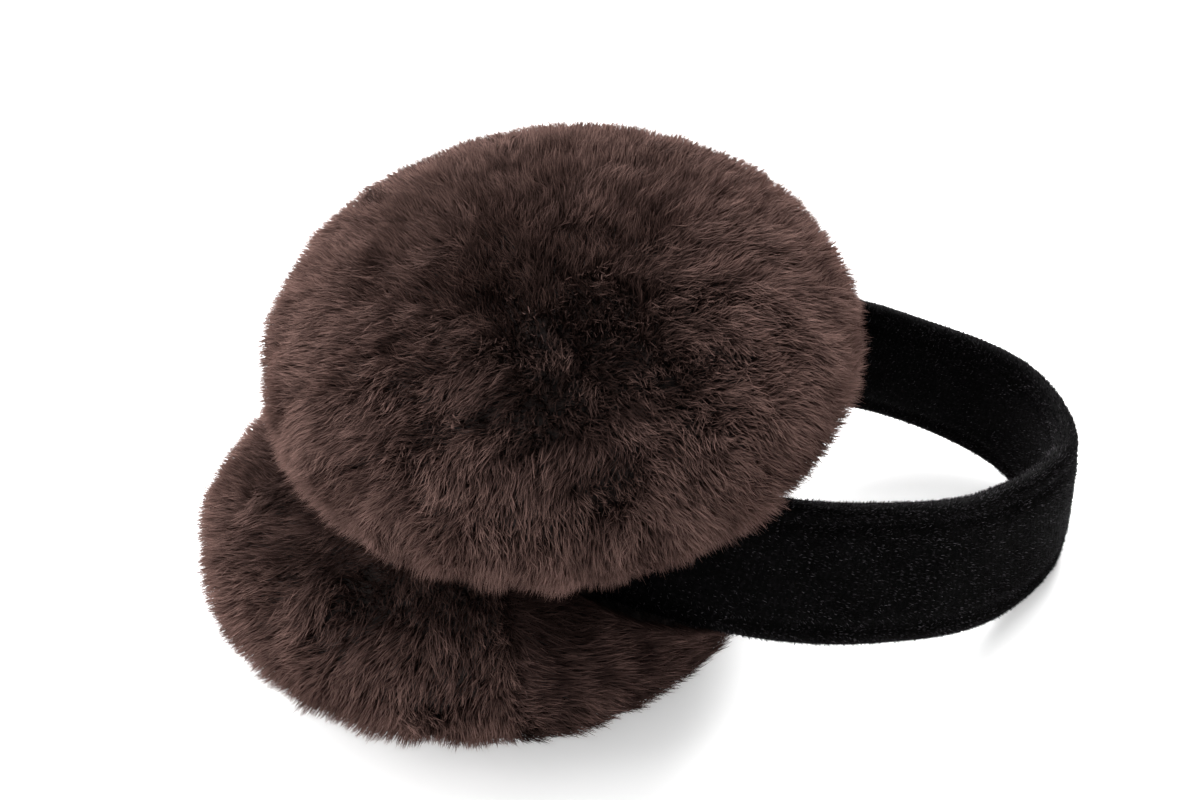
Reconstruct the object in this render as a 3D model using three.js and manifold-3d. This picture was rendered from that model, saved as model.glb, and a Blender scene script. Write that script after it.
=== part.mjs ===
// Fur earmuffs laid down folded: two round pads of dense fur stacked back to back, joined by a
// padded velvet headband whose two ends lie flat between the pads.
// Millimetres, +Z up. The origin is the middle of the flat that the lower pad rests on, and the
// loop of the headband reaches out along +X.
import * as THREE from 'three';
import { mergeVertices } from 'three/addons/utils/BufferGeometryUtils.js';
import Module from 'manifold-3d';

const wasm = await Module();
wasm.setup();

// The pads: round, domed on both faces, of deep fur on a padded head
const PAD_RADIUS = 60;
const PAD_HALF_DEPTH = 26.5;
const RIM_FUR_DEPTH = 8;
const FACE_FUR_DEPTH = 4;
const FLOOR_PRESS = 3;
const CONTACT_PRESS = 4.5;
const UPPER_SHIFT_X = 16.5;
const UPPER_SHIFT_Y = 4.4;
const UPPER_TILT_FORWARD = 10;
const UPPER_TILT_SIDE = -5;

// The locks: flattened tufts that lean from the middle of each face out to the rim
const LOCK_COUNT = 84;
const LOCK_WIDTH = 17;
const LOCK_THICKNESS = 9;
const LOCK_LEAN = 17;
const LOCK_DROOP = 0.4;
const LOCK_STAND = 1.6;
const GOLDEN_ANGLE = Math.PI * (3 - Math.sqrt(5));

// The run of a lock. depth is a share of RIM_FUR_DEPTH under the outer form, and lean a share of
// the lock's lean past its place on the pad.
const LOCK_RUN = {
  root: { depth: 1.35, lean: -1.6 },
  middle: { depth: 0.3, lean: -0.4 },
  tip: { depth: 0, lean: 0.25 },
};

// How full a lock is along its length, as shares of its width and thickness
const LOCK_SHAPE = [
  { along: 0.0, swell: 0.8 },
  { along: 0.45, swell: 1.0 },
  { along: 0.8, swell: 0.55 },
];

// The headband: a flat padded tube with a seam pressed in along both edges of both faces
const BAND_WIDTH = 29;
const BAND_THICKNESS = 6.5;
const SEAM_INSET = 4;
const SEAM_WIDTH = 1.6;
const SEAM_DEPTH = 0.7;
const EDGE_FULLNESS = 7;
const EDGE_ROUNDING = 2.2;
const LOOP_REACH = 127.5;
const LOOP_WIDTH = 92;
const LOOP_SIDE = 18;

// Clearances
const GAP = 0.35;
const END_GAP = 1.8;
const FLOOR_GAP = 0.25;

// Fineness of the faceted surfaces
const HEAD_SEGMENTS = 20;
const HEAD_RINGS = 8;
const BAND_STEPS = 50;
const MERGE_DISTANCE = 1e-3;

// Heights that follow from the sizes above
const LOWER_HEIGHT = PAD_HALF_DEPTH - FLOOR_PRESS;
const CONTACT_HEIGHT = LOWER_HEIGHT + PAD_HALF_DEPTH - CONTACT_PRESS;
const UPPER_HEIGHT = CONTACT_HEIGHT + PAD_HALF_DEPTH - CONTACT_PRESS;
const CROWN_HEIGHT = BAND_WIDTH / 2 + FLOOR_GAP;
const SEAT_DROP = (BAND_THICKNESS + END_GAP) / 2;

// The course of the headband, from the middle of the lower pad's back round the crown to the middle
// of the upper pad's back. reach is a share of the way from that seat out to LOOP_REACH, side a share
// of LOOP_WIDTH off the line from the seat to the crown, rise a share of the way up from the crown to
// the seat, and turn the degrees that the outer face is turned upwards.
const COURSE = [
  { seat: 'lower', reach: 0.0, side: 0.0, rise: 1.0, turn: 85 },
  { seat: 'lower', reach: 0.205, side: -0.285, rise: 1.02, turn: 44 },
  { seat: 'lower', reach: 0.425, side: -0.393, rise: 0.78, turn: 22 },
  { seat: 'lower', reach: 0.64, side: -0.34, rise: 0.41, turn: 24 },
  { seat: 'lower', reach: 0.845, side: -0.19, rise: 0.07, turn: 18 },
  { seat: 'lower', reach: 1.0, side: 0.03, rise: 0.0, turn: 2 },
  { seat: 'upper', reach: 0.949, side: 0.323, rise: 0.07, turn: -6 },
  { seat: 'upper', reach: 0.695, side: 0.52, rise: 0.23, turn: 0 },
  { seat: 'upper', reach: 0.42, side: 0.476, rise: 0.49, turn: -8 },
  { seat: 'upper', reach: 0.19, side: 0.26, rise: 0.76, turn: -38 },
  { seat: 'upper', reach: 0.0, side: 0.0, rise: 1.0, turn: -88 },
];

function toSolid(geometry) {
  const bare = geometry.clone();
  bare.deleteAttribute('normal');
  bare.deleteAttribute('uv');
  const merged = mergeVertices(bare, MERGE_DISTANCE);
  const vertProperties = new Float32Array(merged.attributes.position.array);
  const triVerts = new Uint32Array(merged.index.array);
  return new wasm.Manifold(new wasm.Mesh({ numProp: 3, vertProperties, triVerts }));
}

function toGeometry(solid) {
  const mesh = solid.getMesh();
  const geometry = new THREE.BufferGeometry();
  geometry.setAttribute('position', new THREE.BufferAttribute(mesh.vertProperties, 3));
  geometry.setIndex(new THREE.BufferAttribute(mesh.triVerts, 1));
  geometry.computeVertexNormals();
  return geometry;
}

// A closed body from rings of equally many points, each end closed by a fan to its middle point
function loft(rings, startPoint, endPoint) {
  const sides = rings[0].length;
  const points = [...rings.flat(), startPoint, endPoint];
  const start = points.length - 2;
  const end = points.length - 1;
  const last = (rings.length - 1) * sides;
  const faces = [];
  for (let side = 0; side < sides; side++) {
    const next = (side + 1) % sides;
    for (let ring = 0; ring < last; ring += sides) {
      faces.push(ring + side, ring + next, ring + sides + next);
      faces.push(ring + side, ring + sides + next, ring + sides + side);
    }
    faces.push(start, next, side);
    faces.push(end, last + side, last + next);
  }
  const geometry = new THREE.BufferGeometry().setFromPoints(points);
  geometry.setIndex(faces);
  return geometry;
}

// A point on a domed pad of the given radius and half depth, at an angle from its upper pole
function domePoint(radius, halfDepth, polar, azimuth) {
  const out = radius * Math.sin(polar);
  return new THREE.Vector3(
    out * Math.cos(azimuth),
    out * Math.sin(azimuth),
    halfDepth * Math.cos(polar),
  );
}

// One lock: a flattened, pointed tuft from inside the head to the outer form of the fur
function lock(polar, azimuth, stand) {
  const fullLean = THREE.MathUtils.degToRad(LOCK_LEAN) * (Math.cos(polar) + LOCK_DROOP);
  const place = ({ depth, lean }, lift) => domePoint(
    PAD_RADIUS - depth * RIM_FUR_DEPTH + lift,
    PAD_HALF_DEPTH - depth * RIM_FUR_DEPTH + lift,
    polar + lean * fullLean,
    azimuth,
  );
  const root = place(LOCK_RUN.root, 0);
  const tip = place(LOCK_RUN.tip, 0);
  const path = new THREE.QuadraticBezierCurve3(root, place(LOCK_RUN.middle, stand), tip);
  const across = new THREE.Vector3(-Math.sin(azimuth), Math.cos(azimuth), 0);
  const rings = LOCK_SHAPE.map(({ along, swell }) => {
    const centre = path.getPoint(along);
    const outward = new THREE.Vector3().crossVectors(path.getTangent(along), across);
    return [0, 1, 2, 3].map((corner) => {
      const angle = (Math.PI / 2) * (corner + 0.5);
      return centre.clone()
        .addScaledVector(across, Math.SQRT1_2 * LOCK_WIDTH * swell * Math.cos(angle))
        .addScaledVector(outward, Math.SQRT1_2 * LOCK_THICKNESS * swell * Math.sin(angle));
    });
  });
  return loft(rings, root, tip);
}

// The whole fur form in its own frame: the padded head with its locks set in a golden spiral
function furForm() {
  const head = new THREE.SphereGeometry(1, HEAD_SEGMENTS, HEAD_RINGS).rotateX(Math.PI / 2);
  const headRadius = PAD_RADIUS - RIM_FUR_DEPTH / 2;
  head.scale(headRadius, headRadius, PAD_HALF_DEPTH - FACE_FUR_DEPTH / 2);
  const locks = Array.from({ length: LOCK_COUNT }, (_, index) => {
    const polar = Math.acos(1 - (2 * (index + 0.5)) / LOCK_COUNT);
    const azimuth = index * GOLDEN_ANGLE;
    const stand = (LOCK_STAND / 2) * (1 + Math.sin(azimuth));
    return toSolid(lock(polar, azimuth, stand));
  });
  return outerBody(wasm.Manifold.union([toSolid(head), ...locks]));
}

// The largest body of a solid, without the small hollows that neighbouring locks shut in
function outerBody(solid) {
  return solid.decompose().reduce((most, body) => (body.volume() > most.volume() ? body : most));
}

// A block wider than the pads, above or below the level plane through the origin
function block(side) {
  const size = 4 * PAD_RADIUS;
  return new THREE.BoxGeometry(size, size, size).translate(0, 0, (side * size) / 2);
}

// A share of the upper pad's tilt
function tilt(share) {
  const forward = THREE.MathUtils.degToRad(share * UPPER_TILT_FORWARD);
  const sideways = THREE.MathUtils.degToRad(share * UPPER_TILT_SIDE);
  return new THREE.Matrix4().makeRotationY(sideways)
    .multiply(new THREE.Matrix4().makeRotationX(forward));
}

// The block past the plane in which the pads press on each other, midway between them
function pastContact(side) {
  const middle = new THREE.Matrix4().makeTranslation(
    UPPER_SHIFT_X / 2, UPPER_SHIFT_Y / 2, CONTACT_HEIGHT - (side * GAP) / 2);
  return block(side).applyMatrix4(middle.multiply(tilt(0.5)));
}

function bandCurves() {
  const seats = {
    lower: new THREE.Vector3(0, 0, CONTACT_HEIGHT - SEAT_DROP),
    upper: new THREE.Vector3(UPPER_SHIFT_X, UPPER_SHIFT_Y, CONTACT_HEIGHT + SEAT_DROP),
  };
  const crown = new THREE.Vector3(LOOP_REACH, LOOP_SIDE, CROWN_HEIGHT);
  const points = COURSE.map(({ seat, reach, side, rise }) => {
    const point = seats[seat].clone().lerp(crown, reach);
    point.y += side * LOOP_WIDTH;
    point.z = THREE.MathUtils.lerp(crown.z, seats[seat].z, rise);
    return point;
  });
  const turns = COURSE.map(({ turn }, index) => new THREE.Vector3(index, turn, 0));
  return {
    course: new THREE.CatmullRomCurve3(points, false, 'centripetal'),
    turns: new THREE.CatmullRomCurve3(turns, false, 'catmullrom', 0.5),
  };
}

// Half of the band's section, from one edge over a face to the other edge. across is a share of
// half the width, and lift is the height over the middle: rounded edges and a pressed seam.
function paddedSection() {
  return [1, 0.96, 0.84, 0.72, 0.6, 0, -0.6, -0.72, -0.84, -0.96].map((across) => {
    const full = Math.pow(1 - Math.pow(Math.abs(across), EDGE_FULLNESS), 1 / EDGE_ROUNDING);
    const fromSeam = BAND_WIDTH / 2 * (1 - Math.abs(across)) - SEAM_INSET;
    const seam = SEAM_DEPTH * Math.exp(-Math.pow(fromSeam / SEAM_WIDTH, 2));
    return { across, lift: full * (BAND_THICKNESS / 2 - seam) };
  });
}

// The same for the plain room that the band takes up
function plainSection() {
  return [1, 0.6, 0, -0.6, -1].map((across) => ({ across, lift: BAND_THICKNESS / 2 }));
}

// A section carried along the course of the band, grown on every side by a clearance
function band(section, grow) {
  const { course, turns } = bandCurves();
  const up = new THREE.Vector3(0, 0, 1);
  const rings = [];
  for (let step = 0; step <= BAND_STEPS; step++) {
    const share = step / BAND_STEPS;
    const along = course.getTangent(share);
    const pastEnd = { 0: -grow, [BAND_STEPS]: grow }[step] ?? 0;
    const centre = course.getPoint(share).addScaledVector(along, pastEnd);
    const turn = THREE.MathUtils.degToRad(turns.getPoint(share).y);
    const upright = up.clone().addScaledVector(along, -along.dot(up)).normalize();
    const outward = new THREE.Vector3().crossVectors(along, upright);
    const wide = upright.clone().multiplyScalar(Math.cos(turn))
      .addScaledVector(outward, -Math.sin(turn));
    const face = outward.clone().multiplyScalar(Math.cos(turn))
      .addScaledVector(upright, Math.sin(turn));
    const halfWidth = BAND_WIDTH / 2 + grow;
    const place = (across, lift) => centre.clone()
      .addScaledVector(wide, across * halfWidth)
      .addScaledVector(face, lift);
    rings.push([
      ...section.map(({ across, lift }) => place(across, lift + grow)),
      ...section.map(({ across, lift }) => place(-across, -lift - grow)),
    ]);
  }
  const middleOf = (ring) => ring.reduce((sum, point) => sum.add(point), new THREE.Vector3())
    .divideScalar(ring.length);
  return loft(rings, middleOf(rings[0]), middleOf(rings[BAND_STEPS]));
}

const furMaterial = new THREE.MeshStandardMaterial({ color: 0x372a27, roughness: 0.95 });
const velvetMaterial = new THREE.MeshStandardMaterial({ color: 0x0c0b0c, roughness: 0.9 });

function headband() {
  const mesh = new THREE.Mesh(band(paddedSection(), 0), velvetMaterial);
  mesh.name = 'headband';
  return mesh;
}

// A pad is its fur form less what lies past each cut, made in the pad's own frame and then placed
function pad(name, placement, cuts) {
  const toPad = placement.clone().invert();
  const solid = cuts.reduce(
    (form, cut) => form.subtract(toSolid(cut.clone().applyMatrix4(toPad))),
    furForm(),
  );
  const merged = outerBody(toSolid(toGeometry(outerBody(solid))));
  const mesh = new THREE.Mesh(toGeometry(merged), furMaterial);
  mesh.name = name;
  placement.decompose(mesh.position, mesh.quaternion, mesh.scale);
  return mesh;
}

const bandRoom = band(plainSection(), GAP);
const lowerPlacement = new THREE.Matrix4().makeTranslation(0, 0, LOWER_HEIGHT);
const upperPlacement = new THREE.Matrix4()
  .makeTranslation(UPPER_SHIFT_X, UPPER_SHIFT_Y, UPPER_HEIGHT)
  .multiply(tilt(1));

const earmuffs = new THREE.Group();
earmuffs.name = 'fur_earmuffs';
earmuffs.add(headband());
earmuffs.add(pad('lower_fur_pad', lowerPlacement, [block(-1), pastContact(1), bandRoom]));
earmuffs.add(pad('upper_fur_pad', upperPlacement, [pastContact(-1), bandRoom]));

export default earmuffs;
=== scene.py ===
from math import pi, radians

import bpy
import numpy as np
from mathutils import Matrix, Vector


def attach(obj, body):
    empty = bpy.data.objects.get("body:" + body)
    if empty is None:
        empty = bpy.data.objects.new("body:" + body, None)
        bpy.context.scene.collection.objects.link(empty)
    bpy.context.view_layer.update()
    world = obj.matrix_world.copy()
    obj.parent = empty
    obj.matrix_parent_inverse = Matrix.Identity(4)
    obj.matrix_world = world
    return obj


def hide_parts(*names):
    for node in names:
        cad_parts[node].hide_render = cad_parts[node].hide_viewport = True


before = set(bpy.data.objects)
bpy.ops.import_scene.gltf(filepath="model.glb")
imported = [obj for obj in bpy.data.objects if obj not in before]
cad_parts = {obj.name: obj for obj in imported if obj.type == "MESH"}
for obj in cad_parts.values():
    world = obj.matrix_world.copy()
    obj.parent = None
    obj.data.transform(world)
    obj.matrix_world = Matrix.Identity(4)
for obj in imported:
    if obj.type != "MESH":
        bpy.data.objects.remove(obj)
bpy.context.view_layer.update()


# Camera
# The photograph looks down at the earmuffs from the side of the lower pad, through a normal lens.
CAMERA_PLACE = (0.02392, -0.27269, 0.25383)
CAMERA_PITCH = 53.87
CAMERA_LENS = 50
CAMERA_SENSOR = 36

camera_data = bpy.data.cameras.new("camera")
camera_data.lens = CAMERA_LENS
camera_data.sensor_width = CAMERA_SENSOR
camera = bpy.data.objects.new("camera", camera_data)
camera.location = CAMERA_PLACE
camera.rotation_euler = (radians(CAMERA_PITCH), 0, 0)
bpy.context.scene.collection.objects.link(camera)
bpy.context.scene.camera = camera


# Headband
# A long flat tube of black velvet over foam, sewn along its edges, so that a crease runs down both
# edges of both faces. Its ends lie flat on the backs of the pads and its crown stands on the floor.
MM = 0.001
BAND_WIDTH = 29
BAND_THICKNESS = 6.5
BAND_STATIONS = 380
BAND_ACROSS = 29
SEAM_INSET = 4
SEAM_WIDTH = 1.1
SEAM_DEPTH = 1.0
EDGE_FULLNESS = 7
EDGE_ROUNDING = 2.2
RIPPLE_WAVES = 10
FOAM_RIPPLE = 0.16
FOAM_SPACING = 17
RIB_SPACING = 1.15
RIB_GATHER = 0.2
# The ribs take more of the pile's painted glints
RIB_GLINTS = 0.1
RIB_SHADE = 0.04
NAP_COUNT = 95000
NAP_STATIONS = 2000
NAP_SHORTEST = 0.45
NAP_LONGEST = 0.9
NAP_WIDTH = 0.17
NAP_ROOT_DEPTH = 0.1
NAP_LEAN = 0.9
NAP_LEAN_UNEVEN = 0.35
NAP_STRAY = 0.4
CELL_MARGIN = 0.1
FLECK_SCALE = 1100
WORN_SCALE = 120
PARTED_SCALE = 260
VELVET_DARK = (0.0002, 0.0002, 0.0002, 1)
VELVET_LIGHT = (0.0030, 0.0026, 0.0030, 1)
NAP_ROOT = (0.0004, 0.0003, 0.0004, 1)
# Pale grey tips of a few pile hairs: painted glints
NAP_GLINT_TIP = (0.22, 0.198, 0.217, 1)

# The middle of the band, from the lower pad's back round the crown to the upper pad's back, and the
# degrees that its outer face is turned upwards there
BAND_COURSE = np.array([
    (0.0, 0.0, 41.35, 85),
    (26.14, -22.53, 41.88, 44),
    (54.19, -28.51, 35.5, 22),
    (81.6, -19.76, 25.66, 24),
    (107.74, -3.8, 16.61, 18),
    (127.5, 19.6, 14.75, 2),
    (121.84, 45.5, 16.7, -6),
    (93.64, 59.9, 22.2, 0),
    (63.12, 53.9, 31.85, -8),
    (37.59, 30.9, 41.27, -38),
    (16.5, 4.4, 49.65, -88),
])


def unit(vectors):
    """Each vector divided by its length."""
    return vectors / np.linalg.norm(vectors, axis=-1, keepdims=True)


def ripple(places, wavelength, seed):
    """A smooth uneven field of about -2 to 2: the sum of sine waves, each with its own direction,
    phase and length of 1 / 1.4 to 1 / 0.7 wavelengths, over the root of half their number."""
    draw = np.random.default_rng(seed)
    ways = unit(draw.normal(size=(RIPPLE_WAVES, 3))) * draw.uniform(0.7, 1.4, (RIPPLE_WAVES, 1))
    phases = draw.uniform(0, 2 * pi, RIPPLE_WAVES)
    waves = np.sin(places @ ways.T * (2 * pi / wavelength) + phases)
    return waves.sum(axis=-1) / (RIPPLE_WAVES / 2) ** 0.5


def through_points(points, shares, power):
    """A smooth curve through the points at shares of its spans: on each span a cubic, whose slopes
    at both ends come from the points around it, timed by the spans' lengths to that power."""
    padded = np.vstack([2 * points[0] - points[1], points, 2 * points[-1] - points[-2]])
    place = shares * (len(points) - 1)
    span = np.clip(place.astype(int), 0, len(points) - 2)
    t = (place - span)[:, None]
    p0, p1, p2, p3 = (padded[span + k] for k in range(4))
    d0, d1, d2 = (
        np.linalg.norm(b - a, axis=1, keepdims=True) ** power
        for a, b in ((p0, p1), (p1, p2), (p2, p3))
    )
    slope1 = ((p1 - p0) / d0 - (p2 - p0) / (d0 + d1) + (p2 - p1) / d1) * d1
    slope2 = ((p2 - p1) / d1 - (p3 - p1) / (d1 + d2) + (p3 - p2) / d2) * d1
    return (
        p1 + slope1 * t
        + (3 * (p2 - p1) - 2 * slope1 - slope2) * t ** 2
        + (2 * (p1 - p2) + slope1 + slope2) * t ** 3
    )


def band_frames(shares):
    """At shares of the course: the centre, the way along, the way across the width and the way out
    of the outer face. Across is the upright turned about the way along by the band's turn."""
    step = 1e-4
    points = BAND_COURSE[:, :3]
    centre = through_points(points, shares, 0.5)
    ahead = through_points(points, np.minimum(shares + step, 1), 0.5)
    behind = through_points(points, np.maximum(shares - step, 0), 0.5)
    along = unit(ahead - behind)
    turn = np.radians(through_points(BAND_COURSE[:, 3:], shares, 0.0))
    upright = unit(np.array([0, 0, 1]) - along * along[:, 2:])
    outward = np.cross(along, upright)
    across = upright * np.cos(turn) - outward * np.sin(turn)
    face = outward * np.cos(turn) + upright * np.sin(turn)
    return centre, along, across, face


def new_mesh(name, points, faces):
    """A mesh of points in millimetres and rows of corner numbers, smooth shaded."""
    mesh = bpy.data.meshes.new(name)
    mesh.vertices.add(len(points))
    mesh.vertices.foreach_set("co", (points * MM).astype(np.float32).ravel())
    mesh.loops.add(faces.size)
    mesh.loops.foreach_set("vertex_index", faces.astype(np.int32).ravel())
    mesh.polygons.add(len(faces))
    starts = np.arange(0, faces.size, faces.shape[1], dtype=np.int32)
    mesh.polygons.foreach_set("loop_start", starts)
    mesh.polygons.foreach_set("use_smooth", np.ones(len(faces), bool))
    mesh.update(calc_edges=True)
    return mesh


def new_piece(mesh, material, node):
    """The object of a finished mesh: it rides on the root, stands for a CAD node and takes its
    finish from a slot."""
    mesh.materials.append(material)
    piece = bpy.data.objects.new(mesh.name, mesh)
    bpy.context.scene.collection.objects.link(piece)
    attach(piece, "root")
    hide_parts(node)
    return piece


def tube_faces(rings, sides):
    """Triangles of a tube of rings with equally many sides, whose ends close on two more points."""
    ring, side = np.meshgrid(np.arange(rings - 1), np.arange(sides), indexing="ij")
    a = (ring * sides + side).ravel()
    b = (ring * sides + (side + 1) % sides).ravel()
    wall = np.vstack([np.c_[a, b, b + sides], np.c_[a, b + sides, a + sides]])
    edge = np.arange(sides)
    after = (edge + 1) % sides
    last = (rings - 1) * sides
    start = np.c_[np.full(sides, rings * sides), after, edge]
    end = np.c_[np.full(sides, rings * sides + 1), last + edge, last + after]
    return np.vstack([wall, start, end])


def band_lift(across):
    """Height of the padded face over the middle of the band, at shares of its half width: rounded
    at the edges as a power curve, less a narrow dip along each seam."""
    full = (1 - np.abs(across) ** EDGE_FULLNESS) ** (1 / EDGE_ROUNDING)
    from_seam = BAND_WIDTH / 2 * (1 - np.abs(across)) - SEAM_INSET
    return full * (BAND_THICKNESS / 2 - SEAM_DEPTH * np.exp(-(from_seam / SEAM_WIDTH) ** 2))


def run_along(centre):
    """Length of the course up to each of its points, in millimetres."""
    return np.append(0, np.cumsum(np.linalg.norm(np.diff(centre, axis=0), axis=1)))


def band_mesh():
    """The padded section carried along the course, with a slight unevenness of the foam."""
    centre, along, across, face = band_frames(np.linspace(0, 1, BAND_STATIONS))
    share = np.sin(np.linspace(pi / 2, -pi / 2, BAND_ACROSS))[:-1]
    lift = band_lift(share)
    share = np.concatenate([share, -share])
    lift = np.concatenate([lift, -lift])
    points = (
        centre[:, None]
        + across[:, None] * (share * BAND_WIDTH / 2)[None, :, None]
        + face[:, None] * lift[None, :, None]
    )
    swell = FOAM_RIPPLE * ripple(points, FOAM_SPACING, 3) * np.abs(lift) / BAND_THICKNESS
    points = points + face[:, None] * (swell * np.sign(lift))[..., None]
    ends = points[[0, -1]].mean(axis=1)
    mesh = new_mesh("velvet_band", np.vstack([points.reshape(-1, 3), ends]),
                    tube_faces(BAND_STATIONS, len(share)))
    run = run_along(centre)
    run = np.append(run.repeat(len(share)), run[[0, -1]]).astype(np.float32)
    mesh.attributes.new("run", "FLOAT", "POINT").data.foreach_set("value", run)
    return mesh


def blades(name, centres, sideways, widths, rise, tone_and_painted_light):
    """Hairs as one mesh of ribbons above the floor. centres holds the points up each hair, sideways
    the unit way across it, and widths its width at each point but the tip, where the two edges
    meet. rise, from root to tip, and one value for each hair, its tone with the painted light and
    shade it carries, become attributes, and each hair has its own cell of the UV map."""
    hairs, rings = centres.shape[:2]
    half = sideways[:, None] * widths[..., None] / 2
    edges = np.stack([centres[:, :-1] - half, centres[:, :-1] + half], axis=2)
    points = np.concatenate([edges.reshape(hairs, -1, 3), centres[:, -1:]], axis=1)
    points[..., 2] = np.maximum(points[..., 2], 0)
    corners = points.shape[1]
    low = np.arange(0, 2 * (rings - 2), 2)
    shape = np.vstack([
        np.c_[low, low + 1, low + 3],
        np.c_[low, low + 3, low + 2],
        [[corners - 3, corners - 2, corners - 1]],
    ])
    faces = (np.arange(hairs)[:, None, None] * corners + shape).reshape(-1, 3)
    mesh = new_mesh(name, points.reshape(-1, 3), faces)
    rise = np.append(np.repeat(rise[:-1], 2), rise[-1])
    for label, values in (("rise", np.tile(rise, hairs)), ("tone_and_painted_light", np.repeat(tone_and_painted_light, corners))):
        mesh.attributes.new(label, "FLOAT", "POINT").data.foreach_set(
            "value", values.astype(np.float32))
    side = int(np.ceil(hairs ** 0.5))
    cell = np.stack(np.divmod(np.arange(hairs), side), axis=1)[:, None]
    across = np.append(np.tile([CELL_MARGIN, 1 - CELL_MARGIN], rings - 1), 0.5)
    up = CELL_MARGIN / 2 + (1 - CELL_MARGIN) * rise
    places = ((cell + np.stack([across, up], axis=1)) / side).reshape(-1, 2)
    layer = mesh.uv_layers.new(name="OFBake")
    layer.uv.foreach_set("vector", places[faces.ravel()].astype(np.float32).ravel())
    return mesh


def nap_mesh():
    """The velvet's pile: short hairs that stand on the padded section, lean along the course,
    gather a little in its cross ribs and take more painted glints on them."""
    draw = np.random.default_rng(11)
    shares = np.linspace(0, 1, NAP_STATIONS)
    runs = run_along(band_frames(shares)[0])
    run = draw.uniform(0, runs[-1], NAP_COUNT)
    run = run - RIB_GATHER * np.sin(run * 2 * pi / RIB_SPACING)
    centre, along, across, face = band_frames(np.interp(run, runs, shares))
    share = np.sin(draw.uniform(-pi / 2, pi / 2, NAP_COUNT))
    side = draw.choice([-1, 1], NAP_COUNT)
    nudge = 1e-3
    inner = np.clip(share, -1 + nudge, 1 - nudge)
    slope = (band_lift(inner + nudge) - band_lift(inner - nudge)) / (nudge * BAND_WIDTH)
    out = unit(face * side[:, None] - across * slope[:, None])
    root = (
        centre
        + across * (inner * BAND_WIDTH / 2)[:, None]
        + face * (band_lift(inner) * side)[:, None]
    )
    lean = along * draw.normal(NAP_LEAN, NAP_LEAN_UNEVEN, (NAP_COUNT, 1))
    way = unit(out + lean + draw.normal(0, NAP_STRAY, root.shape))
    length = draw.uniform(NAP_SHORTEST, NAP_LONGEST, (NAP_COUNT, 1))
    centres = np.stack([root - out * NAP_ROOT_DEPTH, root + way * length], axis=1)
    sideways = unit(np.cross(way, out + draw.normal(0, NAP_STRAY, root.shape)))
    widths = np.full((NAP_COUNT, 1), NAP_WIDTH)
    # How strongly each tip shows a painted glint: more on the ribs, and at random
    tone_and_painted_light = 1 - RIB_GLINTS * (1 - np.cos(run * 2 * pi / RIB_SPACING))
    tone_and_painted_light = tone_and_painted_light * draw.uniform(0, 1, NAP_COUNT)
    return blades("velvet_nap", centres, sideways, widths, np.array([0, 1]), tone_and_painted_light)


class Socket:
    """An output of a material's nodes. Arithmetic on it adds Math nodes, add() any other node."""

    def __init__(self, tree, output=None):
        self.tree = tree
        self.output = output

    def add(self, kind, settings, values, output=0):
        """A new node of that kind, with its settings first and then its sockets, each named or
        numbered and given a value or another Socket. Returns the output asked for."""
        node = self.tree.nodes.new("ShaderNode" + kind)
        for name, setting in settings.items():
            setattr(node, name, setting)
        for key, value in values.items():
            if isinstance(value, Socket):
                self.tree.links.new(value.output, node.inputs[key])
            else:
                node.inputs[key].default_value = value
        return Socket(self.tree, node.outputs[output])

    def math(self, operation, *values):
        return self.add("Math", {"operation": operation}, dict(enumerate(values)))

    def __add__(self, other):
        return self.math("ADD", self, other)

    def __radd__(self, other):
        return self.math("ADD", other, self)

    def __sub__(self, other):
        return self.math("SUBTRACT", self, other)

    def __rsub__(self, other):
        return self.math("SUBTRACT", other, self)

    def __mul__(self, other):
        return self.math("MULTIPLY", self, other)

    def __rmul__(self, other):
        return self.math("MULTIPLY", other, self)

    def __pow__(self, other):
        return self.math("POWER", self, other)

    def clamped(self, low, high):
        """This value's way from low to high as 0 to 1, kept within them."""
        return self.add("MapRange", {"clamp": True}, {"Value": self, 1: low, 2: high})

    def between(self, first, second):
        """The colour that lies this share of the way from the first to the second."""
        mix = {"data_type": "RGBA", "clamp_factor": True}
        return self.add("Mix", mix, {0: self, 6: first, 7: second}, 2)

    def to(self, shader, name):
        """Links this output to the shader's input of that name."""
        self.tree.links.new(self.output, shader.inputs[name])


def new_material(name):
    """An empty material, its Principled BSDF and a Socket to start its nodes from."""
    material = bpy.data.materials.new(name)
    material.use_nodes = True
    return material, material.node_tree.nodes["Principled BSDF"], Socket(material.node_tree)


def velvet(name, dark, light, bump):
    """Black velvet: a sheen over dark pile that parts in fine flecks and faint cross ribs."""
    material, shader, start = new_material(name)
    place = start.add("TexCoord", {}, {}, "Object")
    fleck = start.add("TexNoise", {}, {"Vector": place, "Scale": FLECK_SCALE, "Detail": 3})
    worn = start.add("TexNoise", {}, {"Vector": place, "Scale": WORN_SCALE, "Detail": 2})
    run = start.add("Attribute", {"attribute_name": "run"}, {}, "Fac")
    rib = start.math("COSINE", run * (2 * pi / RIB_SPACING))
    pile = fleck * 0.8 + worn * 0.2 + rib * RIB_SHADE
    colour = (pile.clamped(0.47, 0.7) ** 1.5).between(dark, light)
    colour.to(shader, "Base Color")
    (0.95 - worn * 0.2).to(shader, "Roughness")
    shader.inputs["Specular IOR Level"].default_value = 0.03
    shader.inputs["Sheen Weight"].default_value = 0.008
    shader.inputs["Sheen Roughness"].default_value = 0.4
    raised = start.add("Bump", {}, {"Height": pile, "Strength": bump, "Distance": 0.0004})
    raised.to(shader, "Normal")
    return material


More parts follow.
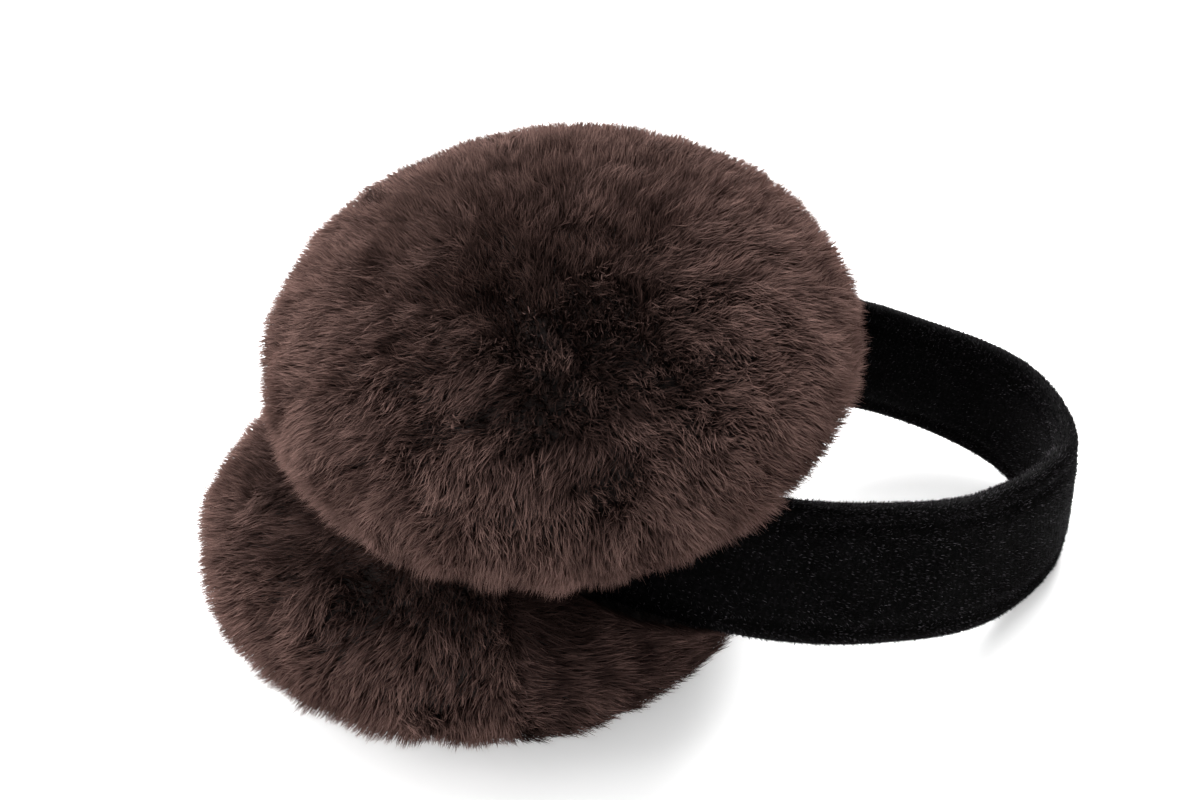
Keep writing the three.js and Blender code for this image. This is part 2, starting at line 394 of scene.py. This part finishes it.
def nap_material():
    """Single pile hairs: black at the root and charcoal at the tip, with painted glints of pale
    grey on a few tips, more where the pile parts.
    """
    material, shader, start = new_material("velvet_pile")
    rise = start.add("Attribute", {"attribute_name": "rise"}, {}, "Fac")
    tone_and_painted_light = start.add("Attribute", {"attribute_name": "tone_and_painted_light"}, {}, "Fac")
    place = start.add("TexCoord", {}, {}, "Object")
    parted = start.add("TexNoise", {}, {"Vector": place, "Scale": PARTED_SCALE, "Detail": 3})
    # A painted glint on a few tips, more where the pile parts
    pale = tone_and_painted_light ** 4 * (parted.clamped(0.4, 0.68) * 0.6 + 0.4)
    (rise * pale).between(NAP_ROOT, NAP_GLINT_TIP).to(shader, "Base Color")
    shader.inputs["Roughness"].default_value = 0.7
    shader.inputs["Specular IOR Level"].default_value = 0.03
    return material


band = new_piece(band_mesh(), velvet("velvet", VELVET_DARK, VELVET_LIGHT, 0.6), "headband")
nap = new_piece(nap_mesh(), nap_material(), "headband")


# Fur pads
# Two round ear pads of dense clipped fur on a padded head. The hair springs from the middle of the
# pad and lies over towards the rim, and its fine wavy tips gather in small tufts. The pads press
# flat on each other, on the floor and round the ends of the band.

# The pads' form and place, and the room that the band, the floor and the other pad take
PAD_RADIUS = 60
PAD_HALF_DEPTH = 26.5
LOWER_MIDDLE = (-1.0, 0.5, 23.5)
UPPER_MIDDLE = (15.7, 4.4, 67.5)
UPPER_TILT_FORWARD = 10
UPPER_TILT_SIDE = -5
CONTACT_MIDDLE = (8.25, 2.2, 45.5)
PRESS_CLEARANCE = 0.15
HEAD_CLEARANCE = 2.2
FLOOR_CLEARANCE = 0.05
LOWER_STATIONS = 110
LOWER_REACH = 0.42
UPPER_STATIONS = 80
UPPER_REACH = 0.28
STATION_REACH = 3
POINTS_AT_ONCE = 50000
BAND_FRONT_ROOM = 16
UNDER_INSET = 3
HIDDEN_DEPTH = 3.0

# The padded heads, under the outer form of the fur
HEAD_RIM_DEPTH = 5.8
HEAD_FACE_DEPTH = 5
HEAD_RINGS = 50
HEAD_SIDES = 100
HEAD_LUMPS = 0.5
HEAD_LUMP_SPACING = 14

# One hair: its points and widths are shares of its length and of HAIR_WIDTH
HAIR_LENGTH = 6.4
HAIR_LENGTH_UNEVEN = 0.1
HAIR_UPRIGHT = 0.7
HAIR_BEND = 0.45
HAIR_WIDTH = 0.185
HAIR_SHARES = np.array([0, 0.55, 1])
HAIR_TAPER = np.array([0.9, 1.2])
HAIR_BED = 1.6
HAIR_UNEVEN = 0.33
HAIR_TINT = 0.45
HAIR_TWIST = 0.5
CURL = 0.38
TIP_CURL = 0.494

# The tufts, and how the coat swells, sways and changes in tone over a pad, with painted light and
# shade in it
POLAR_STEPS = 4000
UPPER_TUFTS = 17200
LOWER_TUFTS = 13700
HAIRS_IN_TUFT = 10
TUFT_RADIUS = 1.1
TUFT_STRETCH = 1.3
TUFT_GATHER = 0.7
TUFT_UNEVEN = 0.14
TUFT_HEIGHT = 0.2
TUFT_TINT = 0.4
SWELL_HEIGHT = 0.4
SWELL_SPACING = 12
LUMP_HEIGHT = 0.25
LUMP_SPACING = 5
SWAY_SPACING = 16
PATCH_PALE = 0.3
PATCH_SPACING = 9
RIM_LONGER = 0.8
# Painted light towards the rim and painted shade at the pole, as a change in paleness
RIM_LIGHT_POLE_SHADE = 1.1
RIDGE_SPACING = 11
RIDGE_DRIFT = 0.2
RIDGE_HEIGHT = 0.22
RIDGE_PALE = 0.32
# Painted shade near the other pad, fading over CONTACT_FADE millimetres
CONTACT_PAINTED_SHADE = 1.6
CONTACT_FADE = 7

# The whorl of the upper pad, and the parting of the lower pad with the combed fur past it, which
# all take painted shade: angles round a pad are in degrees, and PARTING_POLAR, down from its
# pole, is in radians
WHORL_MIDDLE = (6, -39, 19.6)
WHORL_RADIUS = 22
# Painted shade over the whorl
WHORL_PAINTED_SHADE = 2.2
PARTING_AZIMUTH = -78
PARTING_POLAR = 2
PARTING_DEPTH = 2.8
PARTING_WIDTH = 2.8
COMBED = 0.9
COMBED_RISE = 0.15
# Painted shade on the parting and on the fur combed along the band
COMBED_PAINTED_SHADE = 2.8
COMBED_START = 10
COMBED_END = 95
COMBED_FADE = 40

GOLDEN_ANGLE = pi * (3 - 5 ** 0.5)
TINY = 1e-9
FUR_ROOT = (0.013, 0.0076, 0.0066, 1)
FUR_MIDDLE = (0.098, 0.058, 0.050, 1)
FUR_TIP = (0.288, 0.176, 0.151, 1)
HEAD_DARK = (0.006, 0.0037, 0.0033, 1)
HEAD_LIGHT = (0.028, 0.017, 0.015, 1)


def dome(polar, azimuth, radius, half_depth):
    """Points of a round pad with domed faces, a flattened sphere, at angles from its pole."""
    polar, azimuth = np.broadcast_arrays(polar, azimuth)
    out = radius * np.sin(polar)
    return np.stack([out * np.cos(azimuth), out * np.sin(azimuth), half_depth * np.cos(polar)],
                    axis=-1)


def tilted(share):
    """Turn of the upper pad, or a share of it: leaning forward, and then to the side."""
    forward = radians(share * UPPER_TILT_FORWARD)
    side = radians(share * UPPER_TILT_SIDE)
    lean = np.array([[1, 0, 0],
                     [0, np.cos(forward), -np.sin(forward)],
                     [0, np.sin(forward), np.cos(forward)]])
    sway = np.array([[np.cos(side), 0, np.sin(side)],
                     [0, 1, 0],
                     [-np.sin(side), 0, np.cos(side)]])
    return sway @ lean


# The frames of the band near the pads: first those of the lower end, then those of the upper
BAND_NEAR = band_frames(np.concatenate([
    np.linspace(0, LOWER_REACH, LOWER_STATIONS),
    np.linspace(1 - UPPER_REACH, 1, UPPER_STATIONS),
]))


def at_band(points):
    """For each point, its place in the frame of the nearest station of the band: across the width,
    out of the face, past the station along the course, and that station's number."""
    centre, along, across, face = BAND_NEAR
    flat = points.reshape(-1, 3)
    nearest = np.empty(len(flat), int)
    for some in np.array_split(np.arange(len(flat)), max(1, len(flat) // POINTS_AT_ONCE)):
        apart = (centre ** 2).sum(axis=1) - 2 * flat[some] @ centre.T
        nearest[some] = apart.argmin(axis=1)
    offset = flat - centre[nearest]
    parts = [(offset * way[nearest]).sum(axis=1) for way in (across, face, along)]
    return (*parts, nearest)


def kept_clear(points, middle, side, under, margin):
    """Points moved out of the band's room, and whether each was in it: to the face that looks to
    the pad where under holds, and otherwise past the nearer edge. The end that holds the pad keeps
    its outer face bare, so the room reaches further there."""
    centre, _, across, face = BAND_NEAR
    a, b, c, nearest = at_band(points)
    holds = (nearest < LOWER_STATIONS) == (side < 0)
    half_room = BAND_THICKNESS / 2 + margin
    within = (
        (np.abs(a) < BAND_WIDTH / 2 + margin)
        & (b > -half_room)
        & (b < np.where(holds, BAND_FRONT_ROOM, half_room))
        & (np.abs(c) < STATION_REACH)
    )
    to_pad = np.where(holds, -1, np.sign(((middle - centre) * face).sum(axis=1))[nearest])
    down = to_pad * half_room - b
    out = np.sign(a) * (BAND_WIDTH / 2 + margin) - a
    move = np.where(under[:, None], face[nearest] * down[:, None], across[nearest] * out[:, None])
    return points + move * within[:, None], within


def pressed(points, middle, side, under, margin=PRESS_CLEARANCE):
    """Points of a pad moved out of the band, back to its own side of the contact plane and above
    the floor, each with a margin or clearance."""
    clear, _ = kept_clear(points, middle, side, under, margin)
    normal = tilted(0.5)[:, 2]
    past = (clear - np.array(CONTACT_MIDDLE)) @ normal * -side
    clear = clear + normal * (side * np.maximum(past + margin, 0))[:, None]
    clear[:, 2] = np.maximum(clear[:, 2], FLOOR_CLEARANCE)
    return clear


def head_mesh(name, middle, turn, side):
    """The dark under-fur on the padded head: a flattened, slightly lumpy sphere of rings with
    closed poles, pressed clear of the band."""
    polar = np.linspace(0, pi, HEAD_RINGS + 2)[1:-1]
    azimuth = np.linspace(0, 2 * pi, HEAD_SIDES, endpoint=False)
    radius = PAD_RADIUS - HEAD_RIM_DEPTH
    half_depth = PAD_HALF_DEPTH - HEAD_FACE_DEPTH
    rings = dome(polar[::-1, None], azimuth[None], radius, half_depth).reshape(-1, 3)
    points = np.vstack([rings, [[0, 0, -half_depth], [0, 0, half_depth]]])
    points = points + unit(points) * HEAD_LUMPS * ripple(points, HEAD_LUMP_SPACING, 5)[:, None]
    points = points @ turn.T + middle
    points = pressed(points, middle, side, np.ones(len(points), bool), HEAD_CLEARANCE)
    return new_mesh(name, points, tube_faces(HEAD_RINGS, HEAD_SIDES))


def swept(azimuth):
    """How far the fur beside the band is combed along it, 0 to 1, and the distance from the parting
    in millimetres round the rim: nothing up to the parting, all of it past there, and fading out
    behind the band."""
    past = np.degrees(np.angle(np.exp(1j * azimuth))) - PARTING_AZIMUTH
    begun = np.clip(past / COMBED_START + 0.5, 0, 1)
    left = np.clip((COMBED_END - past) / COMBED_FADE, 0, 1)
    return begun * left, np.radians(past) * PAD_RADIUS


def fur_tufts(middle, turn, side, tufts, seed, draw):
    """Tufts over a pad, on a golden spiral whose polar steps cut equal areas: place on the outer
    form, upright, way of the hair, height over the form and paleness. The hair's way is the line
    from a flattened middle of the pad. Ridges run out to the rim, where the fur is longer and paler
    with painted light; the pole and the fur near the other pad are darker with painted shade. The
    upper pad has a whorl of painted shade, and the lower pad's hair is combed along the band from a
    parting on, with painted shade on the parting and the combed fur."""
    scan = np.linspace(0, pi, POLAR_STEPS)
    ring = np.sin(scan) * np.hypot(PAD_RADIUS * np.cos(scan), PAD_HALF_DEPTH * np.sin(scan))
    share = np.cumsum(ring) / ring.sum()
    index = np.arange(tufts)
    polar = np.interp((index + 0.5) / tufts, share, scan)
    azimuth = index * GOLDEN_ANGLE
    top = dome(polar, azimuth, PAD_RADIUS, PAD_HALF_DEPTH)
    normal = unit(top / np.array([PAD_RADIUS, PAD_RADIUS, PAD_HALF_DEPTH]) ** 2)
    way = unit(top * np.array([1, 1, HAIR_BED]))
    height = SWELL_HEIGHT * ripple(top, SWELL_SPACING, seed)
    height = height + LUMP_HEIGHT * ripple(top, LUMP_SPACING, seed + 1)
    spoke = unit(top * np.array([1, 1, 0]) + TINY) * PAD_RADIUS + top * RIDGE_DRIFT
    ridge = ripple(spoke, RIDGE_SPACING, seed + 6) * np.sin(polar)
    height = height + RIDGE_HEIGHT * ridge + draw.normal(0, TUFT_HEIGHT, tufts)
    height = height + RIM_LONGER * np.sin(polar) ** 4
    sway = np.stack([ripple(top, SWAY_SPACING, seed + k) for k in (2, 3, 4)], axis=1)
    way = unit(way + TUFT_UNEVEN * (sway + draw.normal(size=top.shape)))
    above = (top @ turn.T + middle - CONTACT_MIDDLE) @ tilted(0.5)[:, 2] * side
    # Painted light towards the rim and painted shade at the pole
    paler = RIM_LIGHT_POLE_SHADE * (2 * np.sin(polar) ** 3 - 1)
    # Painted shade near the other pad
    paler = paler - CONTACT_PAINTED_SHADE * np.exp(-(above / CONTACT_FADE) ** 2)
    if side > 0:
        # Painted shade over the whorl
        apart = np.linalg.norm(top - np.array(WHORL_MIDDLE), axis=1)
        paler = paler - WHORL_PAINTED_SHADE * np.exp(-(apart / WHORL_RADIUS) ** 2)
    else:
        sweep, from_parting = swept(azimuth)
        rise = np.full(tufts, COMBED_RISE)
        around = np.stack([-np.sin(azimuth), np.cos(azimuth), rise], axis=1)
        way = unit(way + COMBED * sweep[:, None] * around)
        parting = np.exp(-(from_parting / PARTING_WIDTH) ** 2) * (polar < PARTING_POLAR)
        height = height - PARTING_DEPTH * parting
        # Painted shade on the parting and on the fur combed along the band
        paler = paler - COMBED_PAINTED_SHADE * np.maximum(sweep, parting)
    paler = paler + RIDGE_PALE * ridge + draw.normal(0, TUFT_TINT, tufts)
    paler = paler + PATCH_PALE * ripple(top, PATCH_SPACING, seed + 5)
    return top, normal, way, height, paler


def fur_hairs(middle, turn, side, tufts, seed):
    """The hairs of a pad in the frame: the points up each, the way that its ribbon faces, and its
    tone with the painted light and shade it carries. A tip stands on its tuft's place and a root
    lies back from there along the tuft's way. Up the hair a quadratic curve bends from upright to
    that way, gathers towards the tuft and waves a little."""
    draw = np.random.default_rng(seed)
    coat = fur_tufts(middle, turn, side, tufts, seed, draw)
    top, normal, way, height, paler = (np.repeat(each, HAIRS_IN_TUFT, axis=0) for each in coat)
    hairs = len(top)
    round_pole = unit(np.cross(np.array([0, 0, 1]), normal) + TINY)
    meridian = np.cross(round_pole, normal) * TUFT_STRETCH
    reach = TUFT_RADIUS * np.sqrt(draw.uniform(0, 1, hairs))[:, None]
    angle = draw.uniform(0, 2 * pi, hairs)[:, None]
    offset = reach * (round_pole * np.cos(angle) + meridian * np.sin(angle))
    height = height - np.abs(draw.normal(0, HAIR_UNEVEN, hairs)) + HAIR_UNEVEN / 2
    tip = top + offset * TUFT_GATHER + normal * height[:, None]
    tip = tip + draw.normal(0, TIP_CURL, tip.shape)
    length = HAIR_LENGTH * draw.uniform(1 - HAIR_LENGTH_UNEVEN, 1 + HAIR_LENGTH_UNEVEN, (hairs, 1))
    root = top + offset - way * length
    bend = root + (HAIR_UPRIGHT * normal + (1 - HAIR_UPRIGHT) * way) * HAIR_LENGTH * HAIR_BEND
    t = HAIR_SHARES[None, :, None]
    centres = root[:, None] * (1 - t) ** 2 + 2 * bend[:, None] * t * (1 - t) + tip[:, None] * t ** 2
    inner = np.array([0, 1, 0])[:, None]
    centres = centres + draw.normal(0, CURL, centres.shape) * inner
    tone_and_painted_light = paler + draw.normal(0, HAIR_TINT, hairs)
    facing = normal + draw.normal(0, HAIR_TWIST, normal.shape)
    return centres @ turn.T + middle, facing @ turn.T, tone_and_painted_light


def trimmed(centres, facing, tone_and_painted_light, middle, side):
    """The hairs without those whose root is in the band's room or whose tip is deep past the
    contact plane. The rest are pressed clear, point by point."""
    under = np.abs(at_band(centres[:, 0])[0]) < BAND_WIDTH / 2 - UNDER_INSET
    _, buried = kept_clear(centres[:, 0], middle, side, under, PRESS_CLEARANCE)
    beyond = (centres[:, -1] - np.array(CONTACT_MIDDLE)) @ tilted(0.5)[:, 2] * -side
    kept = ~buried & (beyond < HIDDEN_DEPTH)
    centres, facing, tone_and_painted_light, under = (each[kept] for each in (centres, facing, tone_and_painted_light, under))
    for k in range(centres.shape[1]):
        centres[:, k] = pressed(centres[:, k], middle, side, under)
    return centres, facing, tone_and_painted_light


def fur_pieces(name, zones, middle, turn, side, tufts, seed, material, node):
    """The pad's hairs as one ribbon mesh for each zone, from its upper pole to its lower one."""
    middle = np.array(middle)
    hairs = fur_hairs(middle, turn, side, tufts, seed)
    centres, facing, tone_and_painted_light = trimmed(*hairs, middle, side)
    for zone, part in zip(zones, np.array_split(np.arange(len(centres)), len(zones))):
        line = unit(centres[part, -1] - centres[part, 1] + TINY)
        sideways = unit(np.cross(line, facing[part]))
        widths = np.tile(HAIR_WIDTH * HAIR_TAPER, (len(part), 1))
        mesh = blades(f"{name}_{zone}", centres[part], sideways, widths, HAIR_SHARES, tone_and_painted_light[part])
        new_piece(mesh, material, node)


def fur_material():
    """Dark brown fur: nearly black roots, brown lengths and pale mauve-brown tips. A hair's higher
    attribute value makes it paler; that value holds random tone and the painted light and shade
    laid on the tufts. Slow patches make the coat uneven."""
    material, shader, start = new_material("brown_fur")
    rise = start.add("Attribute", {"attribute_name": "rise"}, {}, "Fac")
    tone_and_painted_light = start.add("Attribute", {"attribute_name": "tone_and_painted_light"}, {}, "Fac")
    place = start.add("TexCoord", {}, {}, "Object")
    patch = start.add("TexNoise", {}, {"Vector": place, "Scale": 45, "Detail": 3})
    depth = rise.clamped(0.3, 0.9) * (0.8 + tone_and_painted_light * 0.25)
    length = depth.clamped(0, 1).between(FUR_ROOT, FUR_MIDDLE)
    shade = (rise.clamped(0.6, 1.0) ** 1.3) * (0.42 + tone_and_painted_light * 0.2 + (patch - 0.5) * 0.6)
    shade.clamped(0, 1).between(length, FUR_TIP).to(shader, "Base Color")
    (0.7 - shade * 0.1).to(shader, "Roughness")
    shader.inputs["Specular IOR Level"].default_value = 0.005
    return material


def head_material():
    """Matted under-fur, seen only in the partings."""
    material, shader, start = new_material("under_fur")
    place = start.add("TexCoord", {}, {}, "Object")
    matted = start.add("TexNoise", {}, {"Vector": place, "Scale": 700, "Detail": 4})
    matted.clamped(0.35, 0.7).between(HEAD_DARK, HEAD_LIGHT).to(shader, "Base Color")
    shader.inputs["Roughness"].default_value = 0.9
    raised = start.add("Bump", {}, {"Height": matted, "Strength": 0.8, "Distance": 0.0008})
    raised.to(shader, "Normal")
    return material


fur = fur_material()
under_fur = head_material()
level = np.eye(3)
lower_head = new_piece(head_mesh("lower_head", np.array(LOWER_MIDDLE), level, -1), under_fur,
                       "lower_fur_pad")
upper_head = new_piece(head_mesh("upper_head", np.array(UPPER_MIDDLE), tilted(1), 1), under_fur,
                       "upper_fur_pad")
fur_pieces("lower_fur", ("back", "rim", "face"), LOWER_MIDDLE, level, -1, LOWER_TUFTS, 101,
           fur, "lower_fur_pad")
fur_pieces("upper_fur", ("face", "rim", "back"), UPPER_MIDDLE, tilted(1), 1, UPPER_TUFTS, 202,
           fur, "upper_fur_pad")


# Floor and light
# A plain white table, lit from behind by a large soft lamp and filled from the front and the left.
FLOOR_SIZE = 6000
FLOOR_COLOUR = (0.8, 0.8, 0.8, 1)
FLOOR_GLOW = 0.36
SKY_STRENGTH = 0.2
LAMP_SIZE = 2.0
# Each lamp's place in metres, turned to the origin, and its power in watts
LAMPS = {
    "back_lamp": ((-0.05, 1.3, 0.75), 140),
    "front_lamp": ((-0.75, -1.15, 0.75), 27),
    "left_lamp": ((-0.9, 0.1, 1.1), 28),
}

corners = np.array([(-1, -1, 0), (1, -1, 0), (1, 1, 0), (-1, 1, 0)]) * FLOOR_SIZE / 2
floor_mesh = new_mesh("floor", corners, np.array([[0, 1, 2, 3]]))
floor_material, floor_shader, _ = new_material("white_table")
floor_shader.inputs["Base Color"].default_value = FLOOR_COLOUR
floor_shader.inputs["Roughness"].default_value = 0.6
floor_shader.inputs["Emission Color"].default_value = (1, 1, 1, 1)
floor_shader.inputs["Emission Strength"].default_value = FLOOR_GLOW
floor_mesh.materials.append(floor_material)
floor = bpy.data.objects.new("floor", floor_mesh)
bpy.context.scene.collection.objects.link(floor)

world = bpy.data.worlds.new("studio")
world.use_nodes = True
world.node_tree.nodes["Background"].inputs["Color"].default_value = (1, 1, 1, 1)
world.node_tree.nodes["Background"].inputs["Strength"].default_value = SKY_STRENGTH
bpy.context.scene.world = world

for name, (place, power) in LAMPS.items():
    lamp_data = bpy.data.lights.new(name, "AREA")
    lamp_data.shape = "DISK"
    lamp_data.size = LAMP_SIZE
    lamp_data.energy = power
    lamp = bpy.data.objects.new(name, lamp_data)
    lamp.location = place
    lamp.rotation_euler = Vector(place).to_track_quat("Z", "Y").to_euler()
    bpy.context.scene.collection.objects.link(lamp)

bpy.context.scene.view_settings.view_transform = "Standard"
bpy.context.scene.cycles.use_denoising = True
